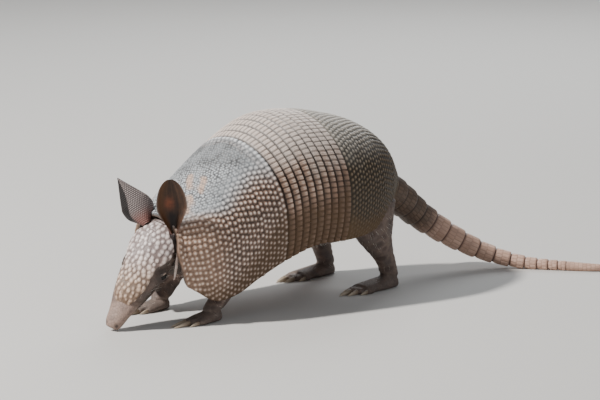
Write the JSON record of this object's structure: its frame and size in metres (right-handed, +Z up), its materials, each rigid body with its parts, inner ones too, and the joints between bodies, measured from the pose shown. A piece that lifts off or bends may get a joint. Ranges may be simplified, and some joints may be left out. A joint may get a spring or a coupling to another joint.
{
  "type": "armadillo",
  "caption": "Life-size still model of an adult nine-banded armadillo nosing in the ground, with its tail laid behind it on the floor.",
  "frame": {"origin": "on the floor, under the middle of the whole animal's bounding box", "axes": "+Z up; -X towards the head, +X towards the tail; -Y is the animal's left side"},
  "size_m": [0.5668, 0.2346, 0.1775],
  "materials": {
    "shield_horn": "worn horn scutes, satin",
    "band_horn": "worn horn scutes, satin",
    "rump_horn": "worn horn scutes, satin",
    "tail_horn": "ringed horn scutes, satin",
    "face_horn": "smooth horn plates, satin",
    "skin": "wrinkled skin with sparse hair, matt",
    "ear_skin": "fine scaly skin, matt",
    "eye": "wet, glossy",
    "claw_horn": "smooth horn, satin"
  },
  "bodies": {
    "root": {"shoulder_shield": "shield_horn", "band_1": "band_horn", "band_2": "band_horn", "band_3": "band_horn", "band_4": "band_horn", "band_5": "band_horn", "band_6": "band_horn", "band_7": "band_horn", "band_8": "band_horn", "band_9": "band_horn", "pelvic_shield": "rump_horn", "trunk": "skin", "head_shield": "face_horn", "eye_left": "eye", "eye_right": "eye", "ear_left": "ear_skin", "ear_right": "ear_skin", "head": "skin", "neck": "skin", "claw_fore_left_1": "claw_horn", "claw_fore_left_2": "claw_horn", "claw_fore_left_3": "claw_horn", "claw_fore_left_4": "claw_horn", "fore_leg_left": "skin", "claw_hind_left_1": "claw_horn", "claw_hind_left_2": "claw_horn", "claw_hind_left_3": "claw_horn", "claw_hind_left_4": "claw_horn", "claw_hind_left_5": "claw_horn", "hind_leg_left": "skin", "claw_fore_right_1": "claw_horn", "claw_fore_right_2": "claw_horn", "claw_fore_right_3": "claw_horn", "claw_fore_right_4": "claw_horn", "fore_leg_right": "skin", "claw_hind_right_1": "claw_horn", "claw_hind_right_2": "claw_horn", "claw_hind_right_3": "claw_horn", "claw_hind_right_4": "claw_horn", "claw_hind_right_5": "claw_horn", "hind_leg_right": "skin", "tail_ring_01": "tail_horn", "tail_ring_02": "tail_horn", "tail_ring_03": "tail_horn", "tail_ring_04": "tail_horn", "tail_ring_05": "tail_horn", "tail_ring_06": "tail_horn", "tail_ring_07": "tail_horn", "tail_ring_08": "tail_horn", "tail_ring_09": "tail_horn", "tail_ring_10": "tail_horn", "tail_ring_11": "tail_horn", "tail_ring_12": "tail_horn", "tail_ring_13": "tail_horn", "tail_ring_14": "tail_horn", "tail_tip": "tail_horn"}
  },
  "joints": []
}
